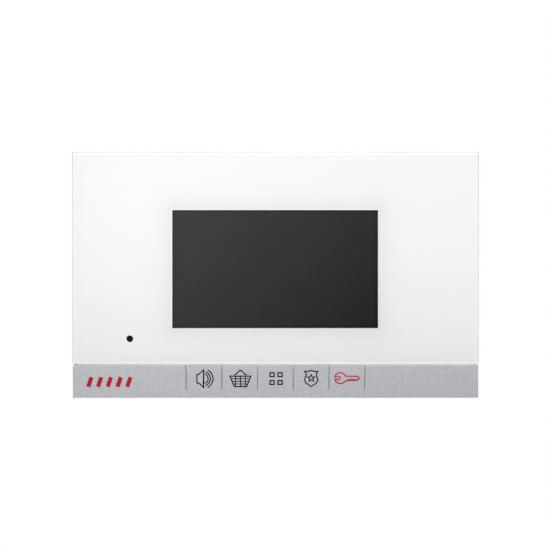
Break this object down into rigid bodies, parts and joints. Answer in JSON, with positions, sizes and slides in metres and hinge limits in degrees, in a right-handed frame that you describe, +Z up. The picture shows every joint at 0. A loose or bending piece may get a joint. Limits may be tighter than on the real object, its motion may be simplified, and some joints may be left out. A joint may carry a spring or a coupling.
{
  "type": "video intercom monitor",
  "caption": "Wall-hung indoor video intercom monitor: white back-printed glass over a small display, silver touch-key strip below, steel hook bracket behind.",
  "frame": {"origin": "centre of the bracket's corner hole pattern, on the wall's face, which is also the centre of the monitor's outline", "axes": "+X to the right as seen from the room, +Z up the wall, -Y out of the wall towards the room, so the screen faces -Y"},
  "size_m": [0.192, 0.023, 0.116],
  "materials": {
    "zinc_steel": "zinc plated",
    "white_abs": "fine texture",
    "clear_glass": "polished",
    "white_print": "smooth",
    "grey_foam": "matt",
    "silver_paint": "silver metallic paint",
    "bright_steel": "bright",
    "dark_lcd": "semi-gloss",
    "white_diffuser": "matt",
    "black_foam": "matt",
    "amber_film": "satin",
    "ivory_nylon": "satin",
    "green_board": "solder mask",
    "nickel_steel": "nickel plated",
    "aluminium_can": "satin",
    "black_rubber": "matt",
    "black_mesh": "fine weave",
    "black_paper": "pressed paper",
    "ferrite": "ground",
    "brown_laminate": "laminate",
    "red_pvc": "satin",
    "black_nylon": "satin",
    "spring_brass": "bright",
    "green_nylon": "satin",
    "black_epoxy": "matt",
    "silver_film": "satin"
  },
  "bodies": {
    "bracket": {"wall_bracket": "zinc_steel"},
    "monitor": {"rear_cover": "white_abs", "front_housing": "white_abs", "front_glass": "clear_glass", "glass_print": "white_print", "glass_tape": "grey_foam", "control_strip": "silver_paint", "switch_bases": "black_nylon", "switch_domes": "spring_brass", "switch_covers": "bright_steel", "lcd_frame": "bright_steel", "lcd_panel": "dark_lcd", "lcd_backlight": "white_diffuser", "lcd_gasket": "black_foam", "lcd_pads": "black_foam", "lcd_flex": "amber_film", "lcd_connector": "ivory_nylon", "main_board": "green_board", "board_screws": "nickel_steel", "case_screws": "nickel_steel", "microphone_capsule": "aluminium_can", "microphone_boot": "black_rubber", "microphone_mesh": "black_mesh", "speaker_basket": "bright_steel", "speaker_cone": "black_paper", "speaker_dust_cap": "black_paper", "speaker_magnet": "ferrite", "speaker_yoke": "bright_steel", "speaker_gasket": "black_foam", "speaker_tag": "brown_laminate", "speaker_socket": "ivory_nylon", "speaker_plug": "ivory_nylon", "speaker_lead": "red_pvc", "terminal_block": "green_nylon", "terminal_cages": "bright_steel", "terminal_screws": "nickel_steel", "capacitors": "aluminium_can", "capacitor_bases": "black_nylon", "inductors": "ferrite", "main_processor": "black_epoxy", "memory_chips": "black_epoxy", "crystal": "aluminium_can", "label_plate": "silver_film"},
    "key_speaker": {"key_speaker": "silver_paint"},
    "plunger_speaker": {"plunger_speaker": "black_nylon"},
    "key_basket": {"key_basket": "silver_paint"},
    "plunger_basket": {"plunger_basket": "black_nylon"},
    "key_menu": {"key_menu": "silver_paint"},
    "plunger_menu": {"plunger_menu": "black_nylon"},
    "key_guard": {"key_guard": "silver_paint"},
    "plunger_guard": {"plunger_guard": "black_nylon"},
    "key_unlock": {"key_unlock": "silver_paint"},
    "plunger_unlock": {"plunger_unlock": "black_nylon"}
  },
  "joints": [
    {"name": "lift_off", "type": "slide", "parent": "bracket", "child": "monitor", "axis": [0, 0, 1], "range_m": [0, 0.006]},
    {"name": "key_speaker_press", "type": "hinge", "parent": "monitor", "child": "key_speaker", "pos_m": [-0.0337, -0.0221, -0.054], "axis": [-1, 0, 0], "range_deg": [0, 2.3], "stiffness_Nm_per_rad": 0.5},
    {"name": "plunger_speaker_slide", "type": "slide", "parent": "monitor", "child": "plunger_speaker", "axis": [0, 1, 0], "range_m": [0, 0.0004]},
    {"name": "key_basket_press", "type": "hinge", "parent": "monitor", "child": "key_basket", "pos_m": [-0.01685, -0.0221, -0.054], "axis": [-1, 0, 0], "range_deg": [0, 2.3], "stiffness_Nm_per_rad": 0.5},
    {"name": "plunger_basket_slide", "type": "slide", "parent": "monitor", "child": "plunger_basket", "axis": [0, 1, 0], "range_m": [0, 0.0004]},
    {"name": "key_menu_press", "type": "hinge", "parent": "monitor", "child": "key_menu", "pos_m": [0, -0.0221, -0.054], "axis": [-1, 0, 0], "range_deg": [0, 2.3], "stiffness_Nm_per_rad": 0.5},
    {"name": "plunger_menu_slide", "type": "slide", "parent": "monitor", "child": "plunger_menu", "axis": [0, 1, 0], "range_m": [0, 0.0004]},
    {"name": "key_guard_press", "type": "hinge", "parent": "monitor", "child": "key_guard", "pos_m": [0.01685, -0.0221, -0.054], "axis": [-1, 0, 0], "range_deg": [0, 2.3], "stiffness_Nm_per_rad": 0.5},
    {"name": "plunger_guard_slide", "type": "slide", "parent": "monitor", "child": "plunger_guard", "axis": [0, 1, 0], "range_m": [0, 0.0004]},
    {"name": "key_unlock_press", "type": "hinge", "parent": "monitor", "child": "key_unlock", "pos_m": [0.0337, -0.0221, -0.054], "axis": [-1, 0, 0], "range_deg": [0, 2.3], "stiffness_Nm_per_rad": 0.5},
    {"name": "plunger_unlock_slide", "type": "slide", "parent": "monitor", "child": "plunger_unlock", "axis": [0, 1, 0], "range_m": [0, 0.0004]}
  ],
  "couplings": [
    {"joint": "plunger_speaker_slide", "follows": "key_speaker_press", "m_per_rad": 0.0083},
    {"joint": "plunger_basket_slide", "follows": "key_basket_press", "m_per_rad": 0.0083},
    {"joint": "plunger_menu_slide", "follows": "key_menu_press", "m_per_rad": 0.0083},
    {"joint": "plunger_guard_slide", "follows": "key_guard_press", "m_per_rad": 0.0083},
    {"joint": "plunger_unlock_slide", "follows": "key_unlock_press", "m_per_rad": 0.0083}
  ]
}
